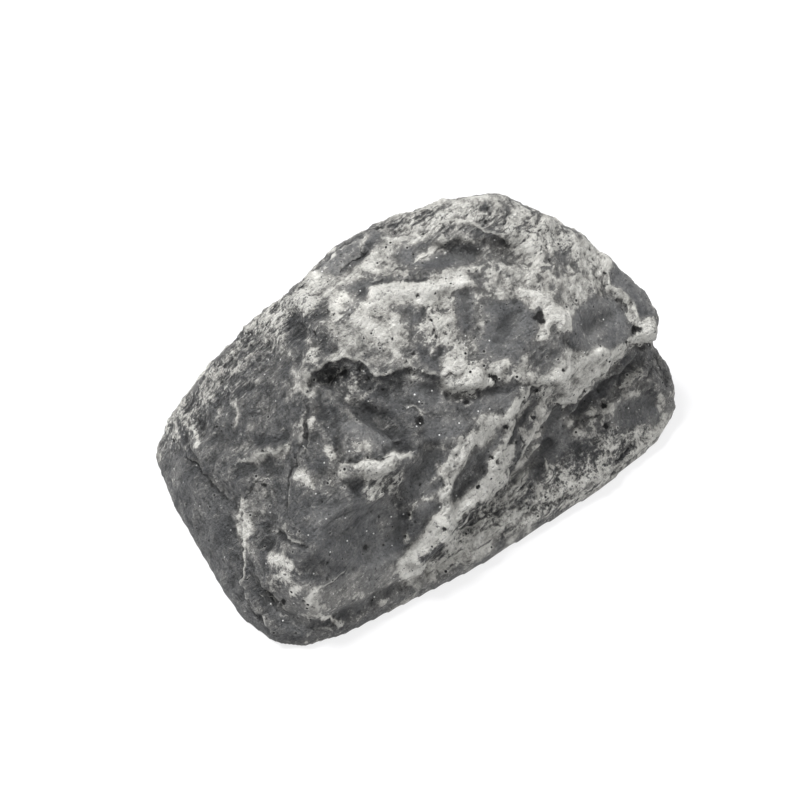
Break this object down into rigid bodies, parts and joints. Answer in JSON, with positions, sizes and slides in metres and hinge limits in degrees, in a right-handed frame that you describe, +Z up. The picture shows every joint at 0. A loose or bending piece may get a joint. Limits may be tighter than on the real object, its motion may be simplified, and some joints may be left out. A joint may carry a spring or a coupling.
{
  "type": "key hiding rock",
  "caption": "Imitation field stone of cast resin with dry-brushed highlights and an open pocket in its flat base that hides a spare key.",
  "frame": {"origin": "on the flat base, at the middle of its length and width", "axes": "+X along the length towards the overhanging end, +Y across towards the back, +Z up"},
  "size_m": [0.085, 0.0584, 0.041],
  "materials": {
    "cast_resin": "dark grey stone-filled resin, satin where worn, sanded flat on the base, raw and bubbled in the pocket",
    "brushed_paint": "off-white matt paint, dry-brushed and rubbed back"
  },
  "bodies": {
    "root": {"rock_casting": "cast_resin", "highlight_coat": "brushed_paint"}
  },
  "joints": []
}
